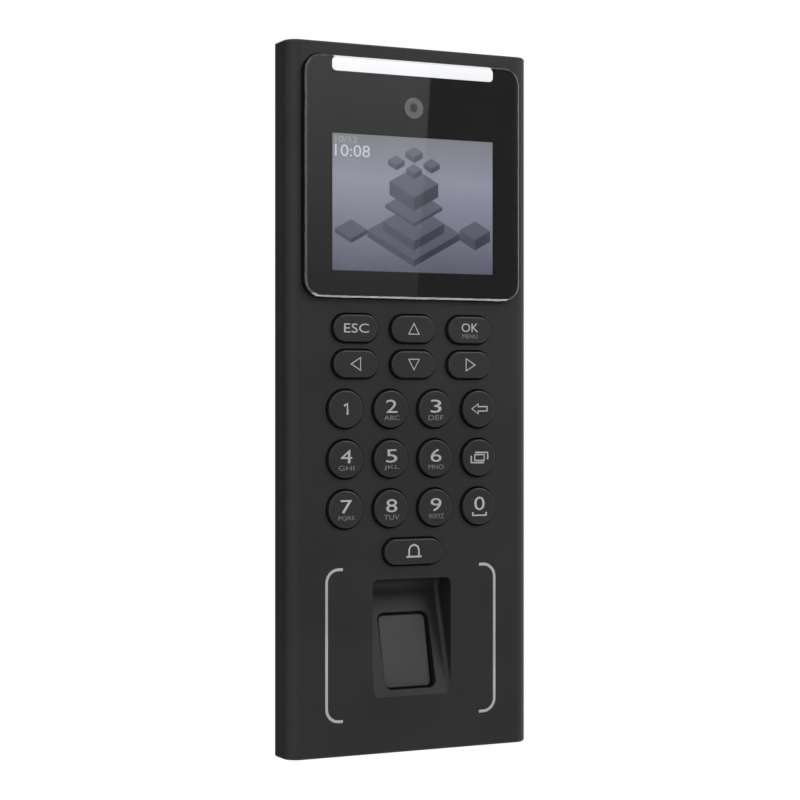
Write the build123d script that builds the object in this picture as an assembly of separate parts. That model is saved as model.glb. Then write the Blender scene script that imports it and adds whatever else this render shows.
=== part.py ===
from build123d import *

import os
from math import atan2, cos, degrees, radians, sin, tan

# Wall access-control terminal with a display, a keypad and a fingerprint reader. Millimetres.
# X is right as seen from the front, +Y points into the wall, +Z is up. The origin is the centre of
# the wall screw pattern, on the wall. "Depth" is counted inwards from the front shell's flat face.

# ---- Display and pane ----
lcd_active_width = 48.96
lcd_active_height = 36.72
lcd_side_border = 5.52
lcd_end_border = 3.0
lcd_glass_thickness = 1.0
pane_side_rim = 2.8
pane_foot = 4.4
pane_corner = 4.75
pane_proud = 2.0
pane_thickness = 1.1
pane_chamfer = 0.5
pane_gap = 0.35
pocket_depth = 1.2
mask_thickness = 0.15
mask_overlap = 0.2
carrier_inset = 0.2

bracket_thickness = 0.6
bracket_edge = 1.3
bracket_inset = 1.0
peg_radius = 0.75
peg_offset = 1.7
peg_head = 0.5

# ---- Light bar and camera ----
bar_width = 49.3
bar_height = 3.7
bar_drop = 2.25
bar_corner = 1.2
bar_stem_inset = 0.75
bar_stem_end = 5.0
light_board_depth = 6.0
light_board_height = 4.8
light_board_thickness = 0.8
light_post_offset = 1.5
light_post_radius = 1.8
light_board_end = 2.5
led_count = 10
led_size = 1.6
led_height = 0.7
camera_drop = 12.8
camera_to_lcd = 5.2
camera_window = 5.8
camera_bezel_radius = 4.0
camera_pupil = 2.4
camera_barrel_radius = 3.0
camera_tube_radius = 4.6
camera_board_depth = 5.4
camera_board_size = 9.0
camera_board_thickness = 0.8

# ---- Keys: width and height of the hole of each kind ----
oblong_hole = (14.3, 8.4)
round_hole = (11.2, 11.2)
bell_hole = (18.6, 8.0)
key_gap = 0.5
key_proud = 1.2
key_lip = 0.4
key_lip_thickness = 0.8
key_edge = 0.45
key_rest_gap = 0.3
key_travel = 0.6
key_over_dome = 0.1
oblong_columns = 17.4
oblong_rows = 9.7
round_columns = 13.6
round_rows = 13.55
pane_to_oblong = 8.2
oblong_to_round = 12.2
round_to_bell = 11.95

# ---- Keypad mat and board ----
mat_thickness = 1.0
mat_depth = 5.0
mat_rim = 1.0
mat_clearance = 0.2
dome_radius = 2.5
snap_radius = 2.3
snap_height = 0.35
board_thickness = 1.0
keypad_screw_offset = 2.0
keypad_boss_radius = 1.8
keypad_board_edge = 1.7

# ---- Finger recess and sensor ----
bell_to_recess = 7.45
recess_width = 24.0
recess_length = 32.1
recess_depth = 9.0
recess_wall = 1.5
recess_blend = 3.5
recess_corner = 1.5
sensor_slope = 12.5
sensor_drop = 20.3
sensor_depth = 4.75
sensor_width = 14.4
sensor_length = 20.0
sensor_corner = 1.5
sensor_gap = 0.7
sensor_seat = 2.0
sensor_chamfer = 0.25
gasket_height = 0.8
gasket_play = 0.05
module_border = 1.6
module_thickness = 4.5
module_pocket = 3.0

antenna_thickness = 0.8
antenna_leg = 7.0
antenna_gap = 1.5
antenna_top_drop = 2.0

# ---- Shell and rear cover ----
side_margin = 4.2
top_margin = 3.8
recess_foot = 15.3
front_depth = 9.5
front_wall = 2.5
shell_wall = 2.2
shell_radius = 4.0
back_edge_radius = 0.8
end_chamfer = 0.4
seal_ledge = 1.2
seal_height = 0.8
seal_width = 0.9
flange_thickness = 1.5
cover_play = 0.15
cover_step = 6.0
cover_radius = 5.0
cover_out = 10.0
cover_wall = 2.0
post_inset = 5.5
post_radius = 3.6
front_boss_radius = 2.75

# ---- Main board and what is on it ----
main_board_front = 9.5
main_board_thickness = 1.6
main_board_play = 0.8
main_board_end_gap = 1.6
main_boss_radius = 2.6
main_boss_inset = 4.0
socket_height = 1.2
flex_thickness = 0.25
flex_bend = 1.0
rear_socket_height = 2.0
header_height = 6.0

light_flex_x = 12.0
camera_socket_drop = 12.0

# ---- Speaker and tamper switch ----
speaker_radius = 9.0
speaker_height = 4.0
speaker_x = 18.5
speaker_above_post = 11.0
tamper_z = 60.0
tamper_radius = 1.5
tamper_collar = 0.8
tamper_collar_height = 1.0
tamper_play = 0.2
tamper_travel = 0.8
tamper_switch_height = 3.5
tamper_tip_gap = 0.3

# ---- Mounting plate ----
plate_thickness = 1.5
plate_width = 56.0
plate_top = 80.0
plate_foot = -62.0
wall_hole_radius = 2.1
wall_hole_x = 40.0
wall_hole_z = 110.0
head_relief_radius = 4.75
head_relief_depth = 2.8
head_relief_floor = 0.8
cable_width = 42.0
cable_height = 28.0
pocket_border = 2.0
pocket_wall = 1.2
hook_x = 14.0
hook_z = 68.0
hook_width = 8.0
hook_neck = 2.5
hook_rise = 3.5
hook_play = 0.2
tail_width = 16.0
tail_reach = 8.0
tail_gap = 0.2
lock_radius = 1.5
lock_head_radius = 2.8
lock_head_height = 1.8
lock_length = 6.0
lock_boss = 4.0

# ---- Small screws ----
small_screw = (0.95, 3.8, 1.7, 0.8)  # shaft radius, shaft length, head radius, head height
board_screw = (0.95, 4.5, 1.7, 0.8)
cover_screw = (1.25, 7.0, 2.2, 1.6)
thread_play = 0.05
hole_play = 0.2

# ---- Worked-out sizes ----
lcd_width = lcd_active_width + 2 * lcd_side_border
lcd_height = lcd_active_height + 2 * lcd_end_border
pane_width = lcd_width + 2 * pane_side_rim
pane_height = camera_drop + camera_to_lcd + lcd_height + pane_foot
keys_half_width = max(1.5 * round_columns + round_hole[0] / 2, oblong_columns + oblong_hole[0] / 2)
mat_border = key_lip + mat_clearance + mat_rim
mat_half_width = keys_half_width + mat_border
keypad_screw_x = mat_half_width + keypad_screw_offset
keypad_board_half_width = keypad_screw_x + keypad_board_edge
inner_margin = shell_wall + seal_ledge
body_width = max(pane_width, 2 * (keypad_board_half_width + inner_margin) - 2 * side_margin)
body_width += 2 * side_margin
body_height = (
    top_margin
    + pane_height
    + pane_to_oblong
    + oblong_rows
    + oblong_to_round
    + 2 * round_rows
    + round_to_bell
    + bell_to_recess
    + recess_length
    + recess_foot
)
body_depth = front_depth + cover_out + plate_thickness

pane_top = body_height / 2 - top_margin
pane_z = pane_top - pane_height / 2
bar_z = pane_top - bar_drop
camera_z = pane_top - camera_drop
lcd_z = camera_z - camera_to_lcd - lcd_height / 2
oblong_z = pane_top - pane_height - pane_to_oblong
round_z = oblong_z - oblong_rows - oblong_to_round
bell_z = round_z - 2 * round_rows - round_to_bell
recess_top = bell_z - bell_to_recess
recess_bottom = recess_top - recess_length
recess_slope = degrees(atan2(recess_depth, recess_length))
block_top = recess_top + recess_wall
block_bottom = recess_bottom - recess_wall
sensor_z = recess_top - sensor_drop
opening_width = sensor_width + 2 * sensor_gap
opening_length = sensor_length + 2 * sensor_gap
opening_corner = sensor_corner + sensor_gap
module_width = opening_width + 2 * module_border
module_length = opening_length + 2 * module_border

mask_front = pane_thickness - pane_proud
mask_back = mask_front + mask_thickness
mat_back = mat_depth + mat_thickness
keypad_board_back = mat_back + board_thickness
cover_front = front_depth - flange_thickness
cover_back = front_depth + cover_out
cover_inner_back = cover_back - cover_wall
cover_width = body_width - 2 * cover_step
cover_height = body_height - 2 * cover_step
main_board_back = main_board_front + main_board_thickness
main_board_half_width = cover_width / 2 - cover_wall - main_board_play
post_x = cover_width / 2 - post_inset
post_z = cover_height / 2 - post_inset - 0.5
main_board_top = post_z - post_radius - main_board_play
main_board_bottom = block_top + main_board_end_gap
lcd_flex_z = lcd_z - lcd_height / 4
camera_socket_z = camera_z - camera_socket_drop
flex_end_depth = main_board_front - socket_height / 2
main_boss_x = main_board_half_width - main_boss_inset
main_boss_zs = (main_board_top - main_boss_inset, main_board_bottom + main_boss_inset)


def at_depth(depth):
    """The plane at this depth, facing the viewer: its own Y is the object's Z."""
    return Plane.XZ.offset(body_depth - depth)


def slab(outline, front, back):
    """An outline drawn as seen from the front, filled from one depth to another."""
    return extrude(at_depth(front) * outline, amount=front - back)


def block(width, height, front, back, x=0.0, z=0.0, corner=0.0):
    """A plate of this width and height, centred on x and z."""
    outline = RectangleRounded(width, height, corner) if corner else Rectangle(width, height)
    return slab(Pos(x, z) * outline, front, back)


def disc(radius, front, back, x=0.0, z=0.0):
    return slab(Pos(x, z) * Circle(radius), front, back)


def screw(seat, sizes):
    """A pan head on the seat plane's outer side and its shaft on the inner side, with a driver slot."""
    shaft_radius, shaft_length, head_radius, head_height = sizes
    body = extrude(seat * Circle(head_radius), amount=head_height)
    body += extrude(seat * Circle(shaft_radius), amount=-shaft_length)
    slot = seat.offset(head_height) * Rectangle(2 * head_radius - 0.8, 0.4)
    cross = seat.offset(head_height) * Rectangle(0.4, 2 * head_radius - 0.8)
    return body - extrude(slot, amount=-head_height / 2) - extrude(cross, amount=-head_height / 2)


def seat_plane(x, z, depth, faces_wall):
    """Where a screw head sits: facing the wall, or facing the viewer."""
    return Plane((x, depth - body_depth, z), x_dir=(1, 0, 0), z_dir=(0, 1 if faces_wall else -1, 0))


def key_outline(size, grow):
    """A key's outline: a circle where width and height agree, else a slot with round ends."""
    width, height = size[0] + 2 * grow, size[1] + 2 * grow
    return SlotOverall(width, height) if width > height else Circle(height / 2)


def key_places():
    """Each key's node name, place and hole size, from the top row down."""
    places = []
    for row, names in enumerate((("esc", "up", "ok"), ("left", "down", "right"))):
        for column, name in enumerate(names):
            x = (column - 1) * oblong_columns
            places.append((f"key_{name}", x, oblong_z - row * oblong_rows, oblong_hole))
    number_rows = (("1", "2", "3", "back"), ("4", "5", "6", "card"), ("7", "8", "9", "0"))
    for row, names in enumerate(number_rows):
        for column, name in enumerate(names):
            x = (column - 1.5) * round_columns
            places.append((f"key_{name}", x, round_z - row * round_rows, round_hole))
    places.append(("key_bell", 0.0, bell_z, bell_hole))
    return places


def every_key(grow):
    """All key outlines in one sketch, grown by the same border."""
    return Sketch() + [Pos(x, z) * key_outline(size, grow) for _, x, z, size in key_places()]


def keypad_outline(half_width, border):
    """The field of the keys with a tongue below it for the bell key."""
    top = oblong_z + oblong_hole[1] / 2 + border
    bottom = round_z - 2 * round_rows - round_hole[1] / 2 - border
    tongue_bottom = bell_z - bell_hole[1] / 2 - border
    field = Pos(0, (top + bottom) / 2) * Rectangle(2 * half_width, top - bottom)
    tongue = Rectangle(bell_hole[0] + 2 * border, bottom - tongue_bottom + 2 * border)
    return field + Pos(0, (bottom + tongue_bottom) / 2 + border) * tongue


def keypad_screw_places():
    """Three screws down each side of the keypad board."""
    highest = oblong_z
    lowest = round_z - 2 * round_rows
    return [
        (side * keypad_screw_x, z)
        for side in (-1, 1)
        for z in (highest, (highest + lowest) / 2, lowest)
    ]


def sensor_plane(offset=0.0):
    """The sensor glass's face: centred on the glass and leaning back towards its top."""
    lean = radians(sensor_slope)
    origin = (0, sensor_depth - body_depth, sensor_z)
    return Plane(origin, x_dir=(1, 0, 0), z_dir=(0, -cos(lean), sin(lean))).offset(offset)


def behind_sensor(offset):
    """Everything further in than a plane parallel to the sensor."""
    return extrude(sensor_plane(offset) * Rectangle(400, 400), amount=-100)


def bosses(places, radius, shaft_radius, front, back):
    """A round boss at each place, bored for a screw's shaft."""
    solids = Part() + [disc(radius, front, back, x, z) for x, z in places]
    return solids - [disc(shaft_radius + thread_play, front, back, x, z) for x, z in places]


def main_board_places():
    return [(side * main_boss_x, z) for side in (-1, 1) for z in main_boss_zs]


def light_posts():
    return [(side * (bar_width / 2 + light_post_offset), bar_z) for side in (-1, 1)]


def cover_screw_places():
    return [(x, z) for x in (-post_x, post_x) for z in (-post_z, post_z)]


def peg_places():
    """Heat-staked pegs that hold the display bracket, in the wall beside the display opening."""
    x = lcd_width / 2 + peg_offset
    return [(side * x, lcd_z + dz) for side in (-1, 1) for dz in (-lcd_height / 3, lcd_height / 3)]


# ---- Pane and what shows through it ----
def front_glass():
    pane = block(pane_width, pane_height, -pane_proud, mask_front, 0, pane_z, pane_corner)
    return chamfer(pane.faces().sort_by(Axis.Y)[0].edges(), pane_chamfer)


def glass_mask():
    mask = block(pane_width, pane_height, mask_front, mask_back, 0, pane_z, pane_corner)
    mask -= block(lcd_active_width + mask_overlap, lcd_active_height + mask_overlap,
                  mask_front, mask_back, 0, lcd_z)
    mask -= disc(camera_window / 2, mask_front, mask_back, 0, camera_z)
    mask -= block(bar_width, bar_height, mask_front, mask_back, 0, bar_z, bar_corner)
    return mask


def panel_carrier():
    width, height = pane_width - 2 * carrier_inset, pane_height - 2 * carrier_inset
    frame = block(width, height, mask_back, pocket_depth, 0, pane_z, pane_corner - carrier_inset)
    frame -= block(lcd_width + 2 * hole_play, lcd_height + 2 * hole_play, mask_back, pocket_depth, 0, lcd_z)
    frame -= disc(camera_bezel_radius + hole_play, mask_back, pocket_depth, 0, camera_z)
    notch_bottom = bar_z - bar_height / 2 - hole_play
    notch = block(bar_width + 2 * hole_play, pane_top - notch_bottom, mask_back, pocket_depth,
                  0, (pane_top + notch_bottom) / 2)
    return frame - notch


def light_bar():
    head = block(bar_width, bar_height, mask_back, pocket_depth, 0, bar_z, bar_corner)
    stem_width = bar_width - 2 * bar_stem_inset
    stem = block(stem_width, bar_height - 2 * bar_stem_inset, pocket_depth, bar_stem_end, 0, bar_z)
    return head + stem


def light_board():
    width = bar_width + 2 * (light_post_offset + light_board_end)
    board = block(width, light_board_height, light_board_depth,
                  light_board_depth + light_board_thickness, 0, bar_z)
    pitch = (bar_width - 2 * bar_stem_inset) / led_count
    for index in range(led_count):
        x = (index - (led_count - 1) / 2) * pitch
        board += block(led_size, led_size, light_board_depth - led_height, light_board_depth, x, bar_z)
    for x, z in light_posts():
        board -= disc(small_screw[0] + thread_play, 0, front_depth, x, z)
    return board


def lcd_glass():
    return block(lcd_width, lcd_height, mask_back, mask_back + lcd_glass_thickness, 0, lcd_z)


def lcd_backlight():
    return block(lcd_width, lcd_height, mask_back + lcd_glass_thickness, front_wall, 0, lcd_z)


def lcd_bracket():
    """A steel sheet behind the display, held by the pegs beside it."""
    width = 2 * (peg_places()[-1][0] + bracket_edge)
    sheet = block(width, lcd_height - 2 * bracket_inset, front_wall, front_wall + bracket_thickness, 0, lcd_z, 1.0)
    for x, z in peg_places():
        sheet -= disc(peg_radius + hole_play, front_wall, front_wall + bracket_thickness, x, z)
    return sheet


def camera_bezel():
    """The grey disc behind the camera window, with a tapering hole for the lens."""
    ring = disc(camera_bezel_radius, mask_back, pocket_depth, 0, camera_z)
    mouth = at_depth(mask_back) * (Pos(0, camera_z) * Circle(camera_pupil / 2))
    return ring - extrude(mouth, amount=mask_back - pocket_depth, taper=8)


def camera_barrel():
    barrel = disc(camera_barrel_radius, pocket_depth, camera_board_depth, 0, camera_z)
    return barrel - disc(camera_pupil / 2, pocket_depth, pocket_depth + 1.0, 0, camera_z)


def camera_lens():
    """A small domed glass set in the barrel's mouth."""
    lens = disc(camera_pupil / 2, pocket_depth, pocket_depth + 1.0, 0, camera_z)
    return fillet(lens.faces().sort_by(Axis.Y)[0].edges(), 0.7)


def camera_board():
    size = camera_board_size
    return block(size, size, camera_board_depth, camera_board_depth + camera_board_thickness, 0, camera_z)


# ---- Keys, mat and keypad board ----
def key_cap(x, z, size):
    """A hard cap with softened edges and a lip that keeps it behind the front wall."""
    lip_front = front_wall + key_rest_gap
    crown = slab(Pos(x, z) * key_outline(size, -key_gap), -key_proud, lip_front)
    crown = fillet(crown.faces().sort_by(Axis.Y)[0].edges(), key_edge)
    return crown + slab(Pos(x, z) * key_outline(size, key_lip), lip_front, lip_front + key_lip_thickness)


def keypad_mat():
    """One silicone sheet: a rim against the front wall, and a stub and a pocket at each key."""
    full = keypad_outline(mat_half_width, mat_border)
    inner = keypad_outline(mat_half_width - mat_rim, mat_border - mat_rim)
    mat = slab(full, front_wall, mat_back) - slab(inner, front_wall, mat_depth)
    stub_front = front_wall + key_rest_gap + key_lip_thickness + key_travel + key_over_dome
    for _, x, z, _ in key_places():
        mat += disc(dome_radius, stub_front, mat_depth, x, z)
        mat -= disc(snap_radius + hole_play, mat_back - snap_height - hole_play, mat_back, x, z)
    return mat


def keypad_board():
    board = slab(keypad_outline(keypad_board_half_width, mat_border), mat_back, keypad_board_back)
    for x, z in keypad_screw_places():
        board -= disc(small_screw[0] + thread_play, mat_back, keypad_board_back, x, z)
    return board


def snap_domes():
    """A steel snap dome on the keypad board under each key."""
    return [disc(snap_radius, mat_back - snap_height, mat_back, x, z) for _, x, z, _ in key_places()]


def front_screws():
    """Short screws that hold the keypad board and the light board, driven from behind."""
    seats = [seat_plane(x, z, keypad_board_back, True) for x, z in keypad_screw_places()]
    light_seat = light_board_depth + light_board_thickness
    seats += [seat_plane(x, z, light_seat, True) for x, z in light_posts()]
    return [screw(seat, small_screw) for seat in seats]


# ---- Fingerprint reader ----
def sensor_block(width, length, outer, inner, corner=0.0):
    """A plate parallel to the sensor glass, from one height over its face to another."""
    outline = RectangleRounded(width, length, corner) if corner else Rectangle(width, length)
    return extrude(sensor_plane(outer) * outline, amount=inner - outer)


def fingerprint_glass():
    glass = sensor_block(sensor_width, sensor_length, 0, -sensor_seat, sensor_corner)
    outwards = Axis(sensor_plane().origin, sensor_plane().z_dir)
    return chamfer(glass.faces().sort_by(outwards)[-1].edges(), sensor_chamfer)


def fingerprint_gasket():
    """A soft ring in the gap round the glass, seated on the module."""
    play = gasket_play
    top = gasket_height - sensor_seat
    ring = sensor_block(opening_width - 2 * play, opening_length - 2 * play, top, -sensor_seat,
                        opening_corner - play)
    return ring - sensor_block(sensor_width + 2 * play, sensor_length + 2 * play, top, -sensor_seat,
                               sensor_corner + play)


def fingerprint_housing():
    """The reader's black body, seated on the back of the finger recess."""
    back = -sensor_seat - module_thickness
    body = sensor_block(module_width, module_length, -sensor_seat, back)
    hollow = sensor_block(sensor_width - 2.0, sensor_length - 2.0, back + module_pocket, back)
    return body - hollow


def fingerprint_board():
    back = -sensor_seat - module_thickness
    return sensor_block(module_width, module_length, back, back - board_thickness)


def rfid_antenna():
    """A U-shaped coil board on the front wall's inner face, round the finger recess."""
    inner = recess_width + 2 * recess_wall + 2 * antenna_gap
    outer = inner + 2 * antenna_leg
    top = block_top - antenna_top_drop
    bottom = block_bottom - antenna_leg
    board = block(outer, top - bottom, front_wall, front_wall + antenna_thickness, 0, (top + bottom) / 2)
    hollow_bottom = block_bottom - antenna_gap
    hollow = block(inner, top - hollow_bottom, front_wall, front_wall + antenna_thickness,
                   0, (top + hollow_bottom) / 2)
    return board - hollow


# ---- Front shell ----
def recess_tool():
    """The space cut for a finger: a wedge with a flat top wall, blended into its sloped floor."""
    run = 2.0 / tan(radians(recess_slope))
    points = [(-2.0, recess_top), (recess_depth, recess_top), (-2.0, recess_bottom - run)]
    side = Plane.YZ.offset(-recess_width / 2)
    outline = side * make_face(Polyline([(d - body_depth, z) for d, z in points], close=True))
    wedge = extrude(outline, amount=recess_width, dir=(1, 0, 0))
    deepest = wedge.edges().filter_by(Axis.X).sort_by(Axis.Y)[-1]
    wedge = fillet(deepest, recess_blend)
    walls = [f for f in wedge.faces() if abs(f.normal_at().X) > 0.99]
    rims = [e for f in walls for e in f.edges() if e.center().Y > 0.5 - body_depth - 2.0]
    lower = [e for e in rims if abs(e.center().Y + body_depth + 2.0) > 0.5]
    return fillet(lower, recess_corner)


def front_housing():
    """The deep moulded shell: flat front, rounded side edges, open back with a ledge for the seal."""
    profile = Pos(0, front_depth / 2 - body_depth) * Rectangle(body_width, front_depth)
    profile = fillet(profile.vertices().group_by(Axis.Y)[0], shell_radius)
    profile = fillet(profile.vertices().group_by(Axis.Y)[-1], back_edge_radius)
    shell = extrude(Plane.XY.offset(-body_height / 2) * profile, amount=body_height)
    ends = shell.faces().filter_by(Axis.Z)
    shell = chamfer([e for f in ends for e in f.edges()], end_chamfer)
    ledge_depth = cover_front - seal_height
    shell -= block(body_width - 2 * inner_margin, body_height - 2 * inner_margin, front_wall, ledge_depth,
                   corner=2.0)
    shell -= block(body_width - 2 * shell_wall, body_height - 2 * shell_wall, ledge_depth, front_depth,
                   corner=3.0)
    shell -= block(pane_width + 2 * pane_gap, pane_height + 2 * pane_gap, 0, pocket_depth, 0, pane_z,
                   pane_corner + pane_gap)
    shell -= block(lcd_width + 2 * hole_play, lcd_height + 2 * hole_play, pocket_depth, front_wall, 0, lcd_z)
    shell -= disc(camera_bezel_radius + hole_play, pocket_depth, front_wall, 0, camera_z)
    stem_width = bar_width - 2 * bar_stem_inset + 2 * hole_play
    stem_height = bar_height - 2 * bar_stem_inset + 2 * hole_play
    shell -= block(stem_width, stem_height, pocket_depth, front_wall, 0, bar_z)
    shell -= slab(every_key(0), 0, front_wall)
    shell += camera_tube() + light_post_solids() + keypad_bosses() + pegs() + front_bosses()
    return shell + recess_body() - recess_tool() - sensor_opening()


def camera_tube():
    tube = disc(camera_tube_radius, front_wall, camera_board_depth, 0, camera_z)
    return tube - disc(camera_bezel_radius + hole_play, front_wall, camera_board_depth, 0, camera_z)


def light_post_solids():
    return bosses(light_posts(), light_post_radius, small_screw[0], front_wall, light_board_depth)


def keypad_bosses():
    return bosses(keypad_screw_places(), keypad_boss_radius, small_screw[0], front_wall, mat_back)


def pegs():
    reach = front_wall + bracket_thickness + peg_head
    return Part() + [disc(peg_radius, front_wall, reach, x, z) for x, z in peg_places()]


def front_bosses():
    """Bosses that take the cover screws."""
    return bosses(cover_screw_places(), front_boss_radius, cover_screw[0], front_wall, cover_front)


def recess_body():
    """The moulded body round the finger recess, cut off square to the sensor behind."""
    height = block_top - block_bottom
    body = block(recess_width + 2 * recess_wall, height, 0.5, 16.0, 0, (block_top + block_bottom) / 2)
    return body - behind_sensor(-sensor_seat)


def sensor_opening():
    return sensor_block(opening_width, opening_length, 8.0, -sensor_seat, opening_corner)


# ---- Rear cover, seal and mounting plate ----
def housing_seal():
    """A rubber ring on the shell's ledge, pressed by the cover's flange."""
    front = cover_front - seal_height
    width = body_width - 2 * shell_wall - 2 * cover_play
    height = body_height - 2 * shell_wall - 2 * cover_play
    ring = block(width, height, front, cover_front, corner=3.0 - cover_play)
    return ring - block(width - 2 * seal_width, height - 2 * seal_width, front, cover_front, corner=2.0)


def wall_holes():
    half_x, half_z = wall_hole_x / 2, wall_hole_z / 2
    return [(x, z) for x in (-half_x, half_x) for z in (-half_z, half_z)]


def rear_cover():
    """The narrower back half: a flange in the shell's mouth, a tub, screw posts and a wiring pocket."""
    flange_width = body_width - 2 * shell_wall - 2 * cover_play
    flange_height = body_height - 2 * shell_wall - 2 * cover_play
    cover = block(flange_width, flange_height, cover_front, front_depth, corner=3.0 - cover_play)
    tub = block(cover_width, cover_height, cover_front, cover_back, corner=cover_radius)
    rim = tub.faces().sort_by(Axis.Y)[-1].edges()
    cover += chamfer(rim, 1.0)
    inner_width, inner_height = cover_width - 2 * cover_wall, cover_height - 2 * cover_wall
    cover -= block(inner_width, inner_height, cover_front, cover_inner_back, corner=cover_radius - cover_wall)
    cover += cover_posts() + main_board_bosses() + head_reliefs() + wiring_pocket() + lock_post()
    for x, z in cover_screw_places():
        cover -= disc(cover_screw[2] + 0.4, main_board_back, cover_back, x, z)
        cover -= disc(cover_screw[0] + hole_play, cover_front, main_board_back, x, z)
    for x, z in wall_holes():
        cover -= disc(head_relief_radius, cover_back - head_relief_depth, cover_back, x, z)
    cover -= block(cable_width + 2 * pocket_border, cable_height + 2 * pocket_border,
                   main_board_back, cover_back, corner=2.0)
    cover -= hook_slots() + speaker_holes() + lock_hole(cover_height / 2 - lock_boss - 1.0)
    return cover - disc(tamper_radius + tamper_play, cover_inner_back, cover_back, 0, tamper_z)


def cover_posts():
    """Posts from the flange to the back wall, merged with the tub's corners."""
    return Part() + [disc(post_radius, cover_front, cover_back - 1.0, x, z) for x, z in cover_screw_places()]


def main_board_bosses():
    shaft_radius = board_screw[0]
    return bosses(main_board_places(), main_boss_radius, shaft_radius, main_board_back, cover_inner_back)


def head_reliefs():
    """Domes inside the back wall that leave room behind it for the wall screws' heads."""
    front = cover_back - head_relief_depth - head_relief_floor
    radius = head_relief_radius + pocket_wall
    return Part() + [disc(radius, front, cover_inner_back, x, z) for x, z in wall_holes()]


def wiring_pocket():
    """A square chimney from the back wall to the main board, round the wiring headers."""
    width = cable_width + 2 * pocket_border + 2 * pocket_wall
    height = cable_height + 2 * pocket_border + 2 * pocket_wall
    return block(width, height, main_board_back + 0.2, cover_inner_back, corner=2.0)


def lock_depth():
    """Depth of the locking screw's axis."""
    return cover_inner_back - lock_boss / 2


def lock_post():
    """A block inside the bottom end wall that takes the locking screw."""
    z = -cover_height / 2 + cover_wall + lock_boss / 2
    return block(2 * lock_boss, lock_boss + 1.0, cover_inner_back - lock_boss, cover_inner_back, 0, z)


def lock_hole(up_to):
    start = Plane((0, lock_depth() - body_depth, -body_height / 2))
    return extrude(start * Circle(lock_radius + thread_play), amount=body_height / 2 - up_to)


def hook_slots():
    """Slots in the back wall: the cover is pushed over the hooks and slides down on them."""
    top = hook_z + hook_neck + 0.1
    height = hook_neck + hook_rise + 0.6
    width = hook_width + 2 * hook_play
    z = top - height / 2
    return Part() + [block(width, height, cover_inner_back, cover_back, side * hook_x, z) for side in (-1, 1)]


def speaker_place():
    return speaker_x, -post_z + speaker_above_post


def speaker_holes():
    x, z = speaker_place()
    holes = [disc(0.8, cover_inner_back, cover_back, x, z)]
    for index in range(6):
        angle = radians(60 * index)
        holes.append(disc(0.8, cover_inner_back, cover_back, x + 4 * cos(angle), z + 4 * sin(angle)))
    return Part() + holes


def speaker():
    x, z = speaker_place()
    cone = disc(speaker_radius, cover_inner_back - speaker_height, cover_inner_back, x, z)
    magnet = disc(speaker_radius * 0.6, cover_inner_back - speaker_height - 1.0,
                  cover_inner_back - speaker_height, x, z)
    return cone + magnet - disc(speaker_radius - 1.5, cover_inner_back - 0.8, cover_inner_back, x, z)


def mounting_plate():
    """A steel plate for the wall, with two hooks at its top and a folded tail for the locking screw."""
    front, back = cover_back, body_depth
    tail_bottom = -cover_height / 2 - tail_gap - plate_thickness
    plate = block(plate_width, plate_top - plate_foot, front, back, 0, (plate_top + plate_foot) / 2, 3.0)
    plate += block(tail_width, plate_foot - tail_bottom + 3.0, front, back, 0,
                   (plate_foot + 3.0 + tail_bottom) / 2)
    plate += block(tail_width, plate_thickness, front - tail_reach, back, 0, tail_bottom + plate_thickness / 2)
    tip_back = cover_inner_back - hook_play
    for side in (-1, 1):
        x = side * hook_x
        plate += block(hook_width, hook_neck, tip_back, front, x, hook_z + hook_neck / 2)
        plate += block(hook_width, hook_neck + hook_rise, tip_back - plate_thickness, tip_back,
                       x, hook_z + (hook_neck + hook_rise) / 2)
    for x, z in wall_holes():
        plate -= disc(wall_hole_radius, front, back, x, z)
    plate -= block(cable_width, cable_height, front, back, corner=2.0)
    plate -= disc(tamper_radius + 1.5, front, back, 0, tamper_z)
    hole = Plane((0, lock_depth() - body_depth, tail_bottom))
    return plate - extrude(hole * Circle(lock_radius + hole_play), amount=plate_thickness)


def cover_screws():
    seats = [seat_plane(x, z, main_board_back, True) for x, z in cover_screw_places()]
    return [screw(seat, cover_screw) for seat in seats]


def lock_screw():
    seat_z = -cover_height / 2 - tail_gap - plate_thickness
    seat = Plane((0, lock_depth() - body_depth, seat_z), x_dir=(1, 0, 0), z_dir=(0, 0, -1))
    return screw(seat, (lock_radius, lock_length, lock_head_radius, lock_head_height))


# ---- Main board ----
def main_board():
    height = main_board_top - main_board_bottom
    board = block(2 * main_board_half_width, height, main_board_front, main_board_back,
                  0, (main_board_top + main_board_bottom) / 2, 1.0)
    for x, z in main_board_places():
        board -= disc(board_screw[0] + thread_play, main_board_front, main_board_back, x, z)
    return board


def main_board_screws():
    return [screw(seat_plane(x, z, main_board_front, False), board_screw) for x, z in main_board_places()]


def on_back(width, height, out, x, z):
    """A component standing on the main board's wall side."""
    return block(width, height, main_board_back, main_board_back + out, x, z)


def board_chips():
    """Processor, memory, radio and power chips."""
    return [
        on_back(14, 14, 1.2, -13, 38),
        on_back(9, 12, 1.0, 0, 40),
        on_back(7, 7, 0.9, -16, 25),
        on_back(12, 8, 2.0, 15, 24.5),
        on_back(6, 5, 1.6, -18, -28),
        on_back(8, 8, 3.2, 4, -30),
    ]


def board_sockets():
    """Flex sockets on both faces of the main board, and the header that stacks the keypad board on it."""
    front = main_board_front - socket_height
    return [
        block(24, 4, front, main_board_front, 0, lcd_flex_z + 2.0),
        block(7, 4, front, main_board_front, 0, camera_socket_z - 2.0),
        block(5, 4, front, main_board_front, light_flex_x, camera_socket_z - 2.0),
        block(10, 4, main_board_back, main_board_back + rear_socket_height, 0, main_board_bottom + 2.5),
        block(20, 4, keypad_board_back, main_board_front, 0, round_z + 6.0),
    ]


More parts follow.
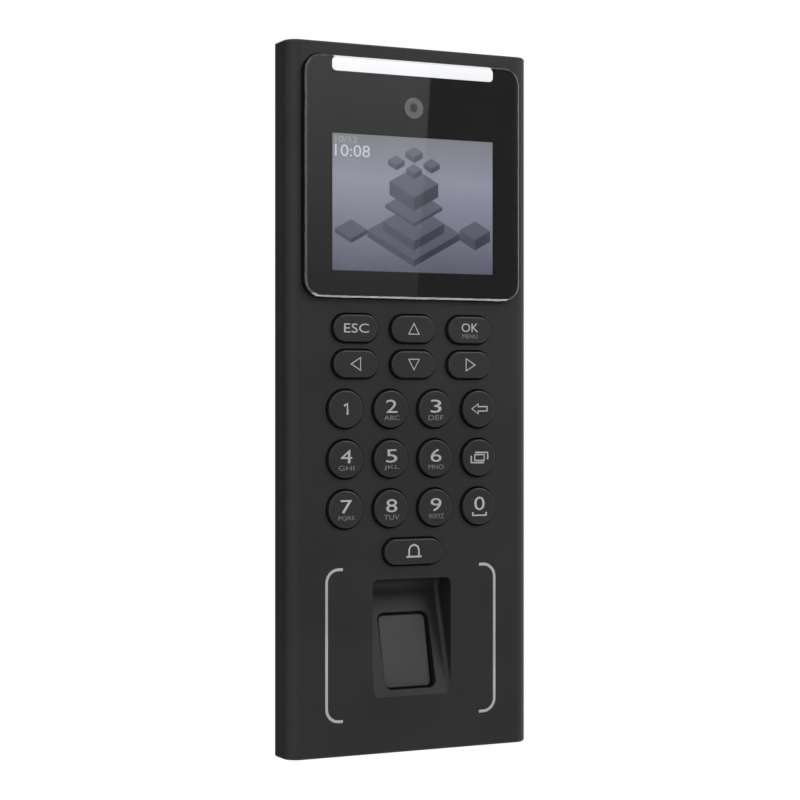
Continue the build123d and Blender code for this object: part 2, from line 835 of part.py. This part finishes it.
def wiring_headers():
    """Two rows of terminals and a network header in the wiring pocket."""
    return [
        on_back(34, 8, header_height, 0, 9),
        on_back(14, 6, header_height - 1.0, 0, 0),
        on_back(34, 8, header_height, 0, -9),
    ]


def relay():
    return on_back(15, 7.5, 5.8, 14, 37)


def coin_cell():
    return disc(6.25, main_board_back, main_board_back + 2.0, -18, 60)


def tamper_switch():
    return on_back(6, 6, tamper_switch_height, 0, tamper_z)


def tamper_plunger():
    """A sprung pin with a collar inside the back wall; its tip reaches through the plate to the wall."""
    collar_back = cover_inner_back - tamper_tip_gap
    inner_end = main_board_back + tamper_switch_height + tamper_travel + 0.1
    pin = disc(tamper_radius, inner_end, body_depth - tamper_tip_gap, 0, tamper_z)
    collar = disc(tamper_radius + tamper_collar, collar_back - tamper_collar_height, collar_back, 0, tamper_z)
    return pin + collar


# ---- Flat flex cables, each one strip along its real route ----
def flex(points, width, x=0.0, bend=flex_bend):
    """A strip whose centre line runs through (depth, z) points, with round bends."""
    route = [(x, depth - body_depth, z) for depth, z in points]
    path = FilletPolyline(route, radius=bend)
    section = Plane(path @ 0, x_dir=(1, 0, 0), z_dir=path % 0) * Rectangle(width, flex_thickness)
    return sweep(section, path=path)


def lcd_flex():
    start = front_wall + bracket_thickness + flex_thickness
    turn = lcd_flex_z - 6.0
    points = [(start, lcd_z + 6.0), (start, turn), (flex_end_depth, turn), (flex_end_depth, lcd_flex_z)]
    return flex(points, 22.0)


def camera_flex():
    start = camera_board_depth + camera_board_thickness + flex_thickness
    step = camera_z - camera_board_size / 2 - 2.0
    end = flex_end_depth
    points = [(start, camera_z + 2.0), (start, step), (end, step), (end, camera_socket_z)]
    return flex(points, 5.0)


def light_flex():
    start = light_board_depth + light_board_thickness + flex_thickness
    step = bar_z - 8.0
    end = flex_end_depth
    points = [(start, bar_z + 1.0), (start, step), (end, step), (end, camera_socket_z)]
    return flex(points, 3.0, light_flex_x, 0.9)


def fingerprint_flex():
    lift = sensor_seat + module_thickness + board_thickness + flex_thickness
    lean = radians(sensor_slope)

    def on_board(along):
        """A point just behind the reader's board, this far up the slope from the glass's centre."""
        depth = sensor_depth + lift * cos(lean) + along * sin(lean)
        return depth, sensor_z + along * cos(lean) - lift * sin(lean)

    end = main_board_back + rear_socket_height - 0.6
    points = [
        on_board(2.0),
        on_board(module_length / 2 + 2.0),
        (end, main_board_bottom - 4.0),
        (end, main_board_bottom + 0.5),
    ]
    return flex(points, 8.0, 0.0, 1.5)


def all_nodes():
    """Every node's name and its solids."""
    nodes = {
        "front_housing": front_housing(),
        "front_glass": front_glass(),
        "glass_mask": glass_mask(),
        "panel_carrier": panel_carrier(),
        "light_bar": light_bar(),
        "light_board": light_board(),
        "lcd_glass": lcd_glass(),
        "lcd_backlight": lcd_backlight(),
        "lcd_bracket": lcd_bracket(),
        "camera_bezel": camera_bezel(),
        "camera_barrel": camera_barrel(),
        "camera_lens": camera_lens(),
        "camera_board": camera_board(),
    }
    for name, x, z, size in key_places():
        nodes[name] = key_cap(x, z, size)
    nodes.update({
        "keypad_mat": keypad_mat(),
        "keypad_board": keypad_board(),
        "snap_domes": snap_domes(),
        "front_screws": front_screws(),
        "fingerprint_glass": fingerprint_glass(),
        "fingerprint_gasket": fingerprint_gasket(),
        "fingerprint_housing": fingerprint_housing(),
        "fingerprint_board": fingerprint_board(),
        "rfid_antenna": rfid_antenna(),
        "main_board": main_board(),
        "main_board_screws": main_board_screws(),
        "board_chips": board_chips(),
        "board_sockets": board_sockets(),
        "wiring_headers": wiring_headers(),
        "relay": relay(),
        "coin_cell": coin_cell(),
        "speaker": speaker(),
        "tamper_switch": tamper_switch(),
        "tamper_plunger": tamper_plunger(),
        "lcd_flex": lcd_flex(),
        "camera_flex": camera_flex(),
        "light_flex": light_flex(),
        "fingerprint_flex": fingerprint_flex(),
        "housing_seal": housing_seal(),
        "rear_cover": rear_cover(),
        "cover_screws": cover_screws(),
        "mounting_plate": mounting_plate(),
        "lock_screw": lock_screw(),
    })
    return nodes


os.makedirs("parts", exist_ok=True)
for node, shape in all_nodes().items():
    solids = shape if isinstance(shape, list) else [shape]
    pieces = [solid for piece in solids for solid in piece.solids()]
    export_step(Compound(children=pieces) if len(pieces) > 1 else pieces[0], f"parts/{node}.step")
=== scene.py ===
import math

import bpy
from mathutils import Matrix, Vector


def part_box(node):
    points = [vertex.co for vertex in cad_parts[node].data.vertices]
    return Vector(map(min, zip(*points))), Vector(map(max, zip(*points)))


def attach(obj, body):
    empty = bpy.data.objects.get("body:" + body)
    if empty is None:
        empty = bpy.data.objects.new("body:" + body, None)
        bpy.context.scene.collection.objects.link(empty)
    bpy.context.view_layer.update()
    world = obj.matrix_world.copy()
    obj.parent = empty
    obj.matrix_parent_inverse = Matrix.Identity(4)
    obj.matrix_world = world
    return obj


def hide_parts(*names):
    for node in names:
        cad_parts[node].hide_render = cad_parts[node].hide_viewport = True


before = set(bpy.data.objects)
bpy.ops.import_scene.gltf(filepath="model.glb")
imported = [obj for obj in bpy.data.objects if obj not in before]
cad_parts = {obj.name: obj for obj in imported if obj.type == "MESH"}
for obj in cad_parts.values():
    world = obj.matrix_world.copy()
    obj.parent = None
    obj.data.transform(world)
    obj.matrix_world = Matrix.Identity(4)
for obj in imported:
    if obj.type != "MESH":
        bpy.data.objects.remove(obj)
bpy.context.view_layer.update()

bpy.ops.object.select_all(action="DESELECT")

# ---- Shell, rear cover and key caps ----
# The two halves of the case and the caps are black ABS, moulded with a fine spark texture.
# The halves are screwed together from behind, and each cap stands on the silicone mat.


def moulded(name, low, high, roughness, specular, grain, depth, metallic=0.0):
    """A finish whose colour drifts between two tones over a fine raised grain."""
    material = bpy.data.materials.new(name)
    material.use_nodes = True
    nodes, links = material.node_tree.nodes, material.node_tree.links
    shader = nodes["Principled BSDF"]
    shader.inputs["Roughness"].default_value = roughness
    shader.inputs["Specular IOR Level"].default_value = specular
    shader.inputs["Metallic"].default_value = metallic
    place = nodes.new("ShaderNodeTexCoord")
    drift = nodes.new("ShaderNodeTexNoise")
    drift.inputs["Scale"].default_value = 45
    tones = nodes.new("ShaderNodeValToRGB")
    tones.color_ramp.elements[0].position = 0.35
    tones.color_ramp.elements[1].position = 0.65
    tones.color_ramp.elements[0].color = (*low, 1)
    tones.color_ramp.elements[1].color = (*high, 1)
    links.new(place.outputs["Object"], drift.inputs["Vector"])
    links.new(drift.outputs["Fac"], tones.inputs["Fac"])
    links.new(tones.outputs["Color"], shader.inputs["Base Color"])
    sparks = nodes.new("ShaderNodeTexNoise")
    sparks.inputs["Scale"].default_value = grain
    sparks.inputs["Detail"].default_value = 3
    raised = nodes.new("ShaderNodeBump")
    raised.inputs["Strength"].default_value = 0.25
    raised.inputs["Distance"].default_value = depth
    links.new(place.outputs["Object"], sparks.inputs["Vector"])
    links.new(sparks.outputs["Fac"], raised.inputs["Height"])
    links.new(raised.outputs["Normal"], shader.inputs["Normal"])
    return material


def dress(material, *names):
    """Gives the finish to every material slot of those frame nodes."""
    for name in names:
        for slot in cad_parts[name].material_slots:
            slot.material = material


caps = sorted(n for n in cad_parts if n.startswith("key_"))
shell_plastic = moulded("shell_plastic", (.011, .011, .012), (.015, .015, .016), .5, .3, 2500, .00002)
dress(shell_plastic, "front_housing", "rear_cover", "fingerprint_housing", "panel_carrier")
cap_plastic = moulded("key_plastic", (.013, .013, .014), (.017, .017, .018), .42, .35, 3500, .00001)
dress(cap_plastic, *caps)

# ---- Front pane and its black print ----
# A sheet of clear hardened glass, printed black on its back except for the display, the
# camera and the light bar, and glued into the shell.
glass = moulded("pane_glass", (.93, .94, .95), (.96, .97, .98), 0.0, .5, 40, 0)
glass.node_tree.nodes["Principled BSDF"].inputs["Transmission Weight"].default_value = 1
glass.node_tree.nodes["Principled BSDF"].inputs["IOR"].default_value = 1.5
dress(glass, "front_glass")
mm = 0.001
print_front = -21.85 * mm
print_middle = -21.8 * mm
black_print = moulded("black_print", (.002, .002, .002), (.003, .003, .0035), .7, .1, 900, .00001)
printed = bpy.data.objects.new("mask_print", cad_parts["glass_mask"].data.copy())
bpy.context.scene.collection.objects.link(printed)
for vertex in printed.data.vertices:
    if vertex.co.y < print_middle:
        vertex.co.y = print_front
printed.data.materials.clear()
printed.data.materials.append(black_print)
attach(printed, "terminal")
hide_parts("glass_mask")

# ---- Light bar ----
# A milky acrylic bar above the camera, lit evenly from behind by a row of white lamps.


def lit(name, low, high, bottom, top, strength=1.0):
    """A finish that gives off its own light, graded from its bottom to its top."""
    material = moulded(name, (.02, .02, .02), (.03, .03, .03), .4, .3, 800, .00001)
    nodes, links = material.node_tree.nodes, material.node_tree.links
    place = nodes.new("ShaderNodeTexCoord")
    apart = nodes.new("ShaderNodeSeparateXYZ")
    span = nodes.new("ShaderNodeMapRange")
    span.inputs["From Min"].default_value = bottom * mm
    span.inputs["From Max"].default_value = top * mm
    grade = nodes.new("ShaderNodeValToRGB")
    grade.color_ramp.elements[0].color = (*low, 1)
    grade.color_ramp.elements[1].color = (*high, 1)
    links.new(place.outputs["Object"], apart.inputs["Vector"])
    links.new(apart.outputs["Z"], span.inputs["Value"])
    links.new(span.outputs["Result"], grade.inputs["Fac"])
    links.new(grade.outputs["Color"], nodes["Principled BSDF"].inputs["Emission Color"])
    nodes["Principled BSDF"].inputs["Emission Strength"].default_value = strength
    return material


dress(lit("bar_diffuser", (.93, .93, .95), (1, 1, 1), 88.5, 92.3, 1.05), "light_bar")

# ---- Display ----
# A 2.4 inch colour panel behind the pane. Its picture is a plain stack of slabs and blocks,
# with a clock in the corner, drawn by the panel itself.
sky = lit("display_sky", (.095, .095, .14), (.20, .205, .23), 35, 71.6)
sky_shader = sky.node_tree.nodes["Principled BSDF"]
sky_ramp = sky_shader.inputs["Emission Color"].links[0].from_node.color_ramp
middle = sky_ramp.elements.new(.68)
middle.color = (.28, .285, .36, 1)
dress(sky, "lcd_glass")
picture_y = -21.77
layer_step = .012
layer_depth = .009
seen_from_above = math.radians(33)
seen_from_corner = math.radians(45)


def finished(piece, name, material, body):
    """Names a piece, gives it its finish or finishes, and fixes it to its body."""
    piece.name = name
    piece.data.materials.clear()
    for m in material if isinstance(material, list) else [material]:
        piece.data.materials.append(m)
    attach(piece, body)


slab_tones = [lit("slab_top", (.075, .08, .12), (.13, .135, .18), 40, 68),
              lit("slab_left", (.05, .052, .085), (.09, .095, .14), 40, 68),
              lit("slab_right", (.018, .019, .035), (.06, .065, .10), 40, 68)]


def block(name, x, z, half, height, level):
    """A box seen from above its corner, pressed flat on to the panel."""
    bpy.ops.mesh.primitive_cube_add(size=2)
    piece = bpy.context.active_object
    piece.data.transform(Matrix.Diagonal((half, half, height / 2, 1)))
    turn = Matrix.Rotation(seen_from_above, 4, "X") @ Matrix.Rotation(seen_from_corner, 4, "Z")
    piece.data.transform(turn)
    low = min(v.co.y for v in piece.data.vertices)
    deep = max(v.co.y for v in piece.data.vertices) - low
    piece.data.update()
    tones = [0 if f.normal.z > .6 else (1 if f.normal.x < 0 else 2) for f in piece.data.polygons]
    for v in piece.data.vertices:
        v.co.y = picture_y - level * layer_step + (v.co.y - low) / deep * layer_depth - layer_depth
        v.co.x += x
        v.co.z += z
        v.co *= mm
    finished(piece, name, slab_tones, "terminal")
    for face, tone in zip(piece.data.polygons, tones):
        face.material_index = tone


# Each block's place across, its height on the wall, half its width, and how tall it is.
slabs = [(0, 45.0, 10, 2.2), (0, 47.2, 6.6, 3.0), (0, 52.6, 6.2, 1.0), (0, 57.6, 5.3, 4.4)]
cubes = [(-5.4, 64.6, 1.8, 1.6), (5.4, 64.2, 1.8, 1.6), (0, 62.4, 1.7, 1.8), (0, 67.0, 1.9, 1.8)]
for count, (x, z, half, height) in enumerate(slabs + cubes):
    block(f"picture_block_{count}", x, z, half, height, count)
for side in (-1, 1):
    block(f"picture_side_{'left' if side < 0 else 'right'}", side * 19, 45.5, 3.4, 2.4 + side, 1)

# ---- Printing ----
# Pale grey pad printing on the caps and shell, a few hundredths of a millimetre thick.
ink = moulded("legend_ink", (.36, .36, .37), (.44, .44, .45), .5, .3, 3000, .000005)
faint_ink = moulded("small_ink", (.15, .15, .155), (.19, .19, .195), .5, .3, 3000, .000005)


def placed(piece, x, z, face, width=None, height=None, thick=.025):
    """Turns a flat mesh to face the front, sizes it and sets it on a face at that place."""
    piece.data.transform(piece.matrix_world)
    piece.matrix_world = Matrix.Identity(4)
    corners = [v.co for v in piece.data.vertices]
    lows = [min(c[i] for c in corners) for i in range(3)]
    highs = [max(c[i] for c in corners) for i in range(3)]
    sizes = [max(h - l, 1e-9) for l, h in zip(lows, highs)]
    wide = width / sizes[0] if width else 1
    tall = height / sizes[1] if height else 1
    for v in piece.data.vertices:
        across = (v.co.x - (lows[0] + highs[0]) / 2) * wide if width else v.co.x
        up = (v.co.y - (lows[1] + highs[1]) / 2) * tall if height else v.co.y
        out = (v.co.z - lows[2]) / sizes[2] * thick
        v.co = Vector(((x + across) * mm, face - (.004 + out) * mm, (z + up) * mm))


def words(name, text, x, z, width, height, face, body, material):
    """Text as a thin mesh of that width and height, set on a face."""
    bpy.ops.object.select_all(action="DESELECT")
    bpy.ops.object.text_add()
    piece = bpy.context.active_object
    piece.data.body = text
    piece.data.extrude = .01
    piece.data.resolution_u = 3
    bpy.ops.object.convert(target="MESH")
    piece = bpy.context.active_object
    placed(piece, x, z, face, width, height)
    finished(piece, name, material, body)


def stroke(name, runs, x, z, width, face, body, material):
    """Lines of one width through chosen points. A run that ends where it starts is closed."""
    bpy.ops.object.select_all(action="DESELECT")
    line = bpy.data.curves.new(name, "CURVE")
    line.dimensions = "3D"
    line.bevel_depth = width / 2
    line.bevel_resolution = 1
    line.use_fill_caps = True
    for run in runs:
        shut = run[0] == run[-1]
        points = run[:-1] if shut else run
        spline = line.splines.new("POLY")
        spline.points.add(len(points) - 1)
        for point, (px, pz) in zip(spline.points, points):
            point.co = (px, pz, 0, 1)
        spline.use_cyclic_u = shut
    piece = bpy.data.objects.new(name, line)
    bpy.context.scene.collection.objects.link(piece)
    bpy.context.view_layer.objects.active = piece
    piece.select_set(True)
    bpy.ops.object.convert(target="MESH")
    piece = bpy.context.active_object
    placed(piece, x, z, face)
    finished(piece, name, material, body)


def cap_place(key):
    """The middle of a cap, in millimetres, and the plane of its face."""
    low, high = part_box(key)
    return (low.x + high.x) / 2 / mm, (low.z + high.z) / 2 / mm, low.y


letters = {
    "1": "", "2": "ABC", "3": "DEF", "4": "GHI", "5": "JKL",
    "6": "MNO", "7": "PQRS", "8": "TUV", "9": "WXYZ",
}
for digit, group in letters.items():
    key = "key_" + digit
    x, z, face = cap_place(key)
    if digit == "1":
        flag_and_stem = [(-.7, .9), (.3, 1.4), (.3, -1.5)]
        stroke(key + "_digit", [flag_and_stem], x, z, .65, face, key, ink)
    else:
        words(key + "_digit", digit, x, z + .77, 3.4, 3.6, face, key, ink)
    if group:
        words(key + "_letters", group, x, z - 2.4, 4.7, 1.3, face, key, faint_ink)
x, z, face = cap_place("key_0")
words("key_0_digit", "0", x, z + .8, 3.3, 3.8, face, "key_0", ink)
space_bar = [(-2.1, .5), (-2.1, -.4), (2.1, -.4), (2.1, .5)]
stroke("key_0_space", [space_bar], x, z - 2.1, .6, face, "key_0", ink)
x, z, face = cap_place("key_esc")
words("key_esc_word", "ESC", x, z, 7.4, 2.5, face, "key_esc", ink)
x, z, face = cap_place("key_ok")
words("key_ok_word", "OK", x, z + .6, 5.2, 2.4, face, "key_ok", ink)
words("key_ok_menu", "MENU", x, z - 1.8, 4.8, 1.1, face, "key_ok", faint_ink)
signs = {
    "key_up": [[(-1.6, -1.4), (1.6, -1.4), (0, 1.5), (-1.6, -1.4)]],
    "key_down": [[(-1.6, 1.4), (1.6, 1.4), (0, -1.5), (-1.6, 1.4)]],
    "key_left": [[(1.2, -1.7), (1.2, 1.7), (-1.6, 0), (1.2, -1.7)]],
    "key_right": [[(-1.2, -1.7), (-1.2, 1.7), (1.6, 0), (-1.2, -1.7)]],
    "key_back": [[(-2.4, 0), (-.4, 1.35), (-.4, .6), (2.4, .6),
                  (2.4, -.6), (-.4, -.6), (-.4, -1.35), (-2.4, 0)]],
    "key_card": [[(-1.5, -.8), (1.5, -.8), (1.5, .8), (-1.5, .8), (-1.5, -.8)],
                 [(-2.6, .5), (-2.6, -1.4), (1.4, -1.4)], [(2.6, -.5), (2.6, 1.4), (-1.4, 1.4)]],
    "key_bell": [[(-1.5, -1.3), (-1.5, .5), (-1.1, 1.4), (0, 1.9), (1.1, 1.4), (1.5, .5), (1.5, -1.3)],
                 [(-2.3, -1.4), (2.3, -1.4)]],
}
for key, runs in signs.items():
    x, z, face = cap_place(key)
    stroke(key + "_sign", runs, x, z, .55, face, key, ink)

# ---- Corner brackets ----
# Two printed brackets on the shell, one each side of the finger recess, in the same pale
# grey ink. The card aerial lies on the inside of the wall behind them.
shell_face = -21.0 * mm
bracket_x = 25.75
bracket_arm_end = 20.9
bracket_top = -45.9
bracket_ends_sum = -132.8
bracket_radius = 3.5
for side in (-1, 1):
    turns = [math.radians(angle) for angle in range(0, 91, 15)]
    top = [(side * bracket_arm_end, bracket_top)]
    top += [(side * (bracket_x - bracket_radius * (1 - math.sin(turn))),
             bracket_top - bracket_radius * (1 - math.cos(turn))) for turn in turns]
    foot = [(across, bracket_ends_sum - up) for across, up in reversed(top)]
    stroke(f"bracket_{'left' if side < 0 else 'right'}", [top + foot], 0, 0, .85,
           shell_face, "terminal", ink)

# ---- Clock and date ----
# The digits that the display shows in its top corner, brighter than the picture behind
# them. They are light from the panel, so they have no print and no thickness to speak of.
digits_y = -21.78 * mm
clock_light = lit("clock_light", (.6, .6, .67), (.62, .62, .68), 60, 70)
words("clock", "10:08", -18.6, 67.2, 10.5, 3.2, digits_y, "terminal", clock_light)
date_light = lit("date_light", (.34, .34, .36), (.36, .36, .38), 60, 72)
words("date", "10/12", -20.4, 70.2, 6.6, 1.7, digits_y, "terminal", date_light)

# ---- Camera ----
# A grey bezel and black barrel round a coated glass lens, screwed to a small board.
camera_grey = moulded("camera_grey", (.15, .15, .155), (.19, .19, .195), .5, .4, 1500, .00001)
dress(camera_grey, "camera_bezel")
lens_glass = moulded("lens_glass", (.04, .04, .09), (.14, .14, .26), .08, .6, 300, 0)
dress(lens_glass, "camera_lens")

# ---- Fingerprint window ----
# A coated glass prism face set at a slope at the foot of the recess, in a soft gasket.
window = moulded("sensor_glass", (.055, .055, .055), (.07, .07, .07), .18, .5, 500, 0)
dress(window, "fingerprint_glass")

# ---- Wall plate, display bracket and snap domes ----
# Pressed from zinc-plated steel sheet. The plate is screwed to the wall and carries the
# case, the bracket holds the display, and the domes click under the keys.
zinc_steel = moulded("zinc_steel", (.42, .43, .44), (.55, .56, .58), .38, .5, 900, .00001, 1.0)
dress(zinc_steel, "mounting_plate", "lcd_bracket", "snap_domes")

# ---- Screws ----
# Blackened steel screws that hold the keypad board, the light board, the main board and
# the rear cover, and the one at the foot that locks the case to its plate.
screw_steel = moulded("screw_steel", (.10, .10, .10), (.16, .16, .16), .35, .5, 1200, .00001, 1.0)
dress(screw_steel, "front_screws", "main_board_screws", "cover_screws", "lock_screw")

# ---- Key mat, sensor gasket and case seal ----
# Moulded in black silicone rubber. The mat springs the keys, and the other two keep water
# out of the finger recess and the joint between the case halves.
black_rubber = moulded("black_rubber", (.012, .012, .012), (.02, .02, .02), .75, .25, 1800, .00002)
dress(black_rubber, "keypad_mat", "fingerprint_gasket", "housing_seal")

# ---- Circuit boards ----
# Glass-fibre boards under green lacquer, one for each job, fixed inside the case. The card
# aerial is a coil on a thin U-shaped board round the finger recess.
circuit_board = moulded("circuit_board", (.01, .06, .03), (.02, .10, .05), .45, .5, 600, .00001)
dress(circuit_board, "light_board", "camera_board", "keypad_board", "fingerprint_board",
      "rfid_antenna", "main_board")

# ---- Parts on the boards ----
# Black moulded packages and housings, soldered to the boards or fixed beside them, and the
# sprung plunger that tells the switch when the case leaves the wall.
component_black = moulded("component_black", (.015, .015, .016), (.03, .03, .032), .5, .4, 1500, .00001)
dress(component_black, "board_chips", "relay", "speaker", "tamper_switch", "tamper_plunger",
      "camera_barrel", "coin_cell")

# ---- Wiring headers ----
# Green moulded terminal blocks at the back of the main board, where the cable opening in
# the cover lets the installer reach them.
header_green = moulded("header_green", (.03, .22, .06), (.05, .30, .09), .5, .4, 1000, .00001)
dress(header_green, "wiring_headers")

# ---- Board sockets and display backlight ----
# Ivory nylon sockets that the flat cables push into, and the pale frame that spreads the
# light behind the display.
socket_ivory = moulded("socket_ivory", (.6, .56, .45), (.7, .66, .55), .5, .4, 1000, .00001)
dress(socket_ivory, "board_sockets", "lcd_backlight")

# ---- Flat cables ----
# Copper tracks between two amber polyimide films. Each runs from its own board to a socket
# on the main board.
flex_amber = moulded("flex_amber", (.30, .12, .02), (.42, .18, .03), .4, .4, 700, .00001)
dress(flex_amber, "lcd_flex", "camera_flex", "light_flex", "fingerprint_flex")

# ---- Camera, lights and stage ----
# A plain studio: a pale floor below, a white surround, soft lamps, and cards that the pane
# and the sides reflect.
view = bpy.data.cameras.new("view")
view.lens = 94.41
view.sensor_width = 36
eye = bpy.data.objects.new("view", view)
bpy.context.scene.collection.objects.link(eye)
eye.location = (-.2593, -.535, -.0001)
eye.rotation_euler = Vector((.4453, .8954, 0)).to_track_quat("-Z", "Y").to_euler()
bpy.context.scene.camera = eye


def lamp(name, place, power, size):
    """A soft square lamp that shines at the middle of the object."""
    light = bpy.data.lights.new(name, "AREA")
    light.energy, light.size = power, size
    holder = bpy.data.objects.new(name, light)
    bpy.context.scene.collection.objects.link(holder)
    holder.location = place
    holder.rotation_euler = (-Vector(place)).to_track_quat("-Z", "Y").to_euler()


lamp("key_lamp", (.9, -1.0, 1.0), 14, .8)
lamp("fill_lamp", (-.9, -.9, .6), 3, .8)
lamp("back_lamp", (.5, 1.2, .8), 9, .8)


def card(name, corners, low, high):
    """A card seen only in reflections, graded from its foot to its top."""
    mesh = bpy.data.meshes.new(name)
    mesh.from_pydata(corners, [], [(0, 1, 2, 3)])
    piece = bpy.data.objects.new(name, mesh)
    bpy.context.scene.collection.objects.link(piece)
    paper = bpy.data.materials.new(name)
    paper.use_nodes = True
    nodes, links = paper.node_tree.nodes, paper.node_tree.links
    nodes.clear()
    place, apart = nodes.new("ShaderNodeTexCoord"), nodes.new("ShaderNodeSeparateXYZ")
    span, glow = nodes.new("ShaderNodeMapRange"), nodes.new("ShaderNodeEmission")
    span.inputs["From Min"].default_value, span.inputs["From Max"].default_value = .03, .18
    span.inputs["To Min"].default_value, span.inputs["To Max"].default_value = low, high
    out = nodes.new("ShaderNodeOutputMaterial")
    links.new(place.outputs["Object"], apart.inputs["Vector"])
    links.new(apart.outputs["Z"], span.inputs["Value"])
    links.new(span.outputs["Result"], glow.inputs["Strength"])
    links.new(glow.outputs["Emission"], out.inputs["Surface"])
    mesh.materials.append(paper)
    piece.visible_camera = piece.visible_diffuse = piece.visible_shadow = False


bright_corners = [(.05, -.535, 0), (.257, -.535, 0), (.2705, -.535, .20), (.05, -.535, .20)]
card("bright_card", bright_corners, .2, .62)
dark_corners = [(.0, -.54, -.25), (.46, -.54, -.25), (.46, -.54, .30), (.0, -.54, .30)]
card("dark_card", dark_corners, .15, .15)
side_corners = [(-.55, .10, -.45), (-.02, .45, -.45), (-.02, .45, .45), (-.55, .10, .45)]
card("side_card", side_corners, .12, .12)

bpy.ops.mesh.primitive_cylinder_add(vertices=96, radius=.9, depth=.01, location=(0, 0, -.355))
floor = bpy.context.active_object
floor.name = "floor"
floor_paper = moulded("floor_paper", (.78, .78, .78), (.82, .82, .82), .8, .2, 60, .0001)
floor.data.materials.append(floor_paper)

world = bpy.data.worlds.new("surround")
bpy.context.scene.world = world
world.use_nodes = True
nodes, links = world.node_tree.nodes, world.node_tree.links
back = nodes["Background"]
path = nodes.new("ShaderNodeLightPath")
either, any_of = nodes.new("ShaderNodeMath"), nodes.new("ShaderNodeMath")
either.operation = any_of.operation = "MAXIMUM"
level = nodes.new("ShaderNodeMapRange")
level.inputs["To Min"].default_value, level.inputs["To Max"].default_value = .5, 1
links.new(path.outputs["Is Camera Ray"], either.inputs[0])
links.new(path.outputs["Is Glossy Ray"], either.inputs[1])
links.new(either.outputs[0], any_of.inputs[0])
links.new(path.outputs["Is Transmission Ray"], any_of.inputs[1])
links.new(any_of.outputs[0], level.inputs["Value"])
links.new(level.outputs["Result"], back.inputs["Strength"])
back.inputs["Color"].default_value = (1, 1, 1, 1)
bpy.context.scene.view_settings.view_transform = "Standard"
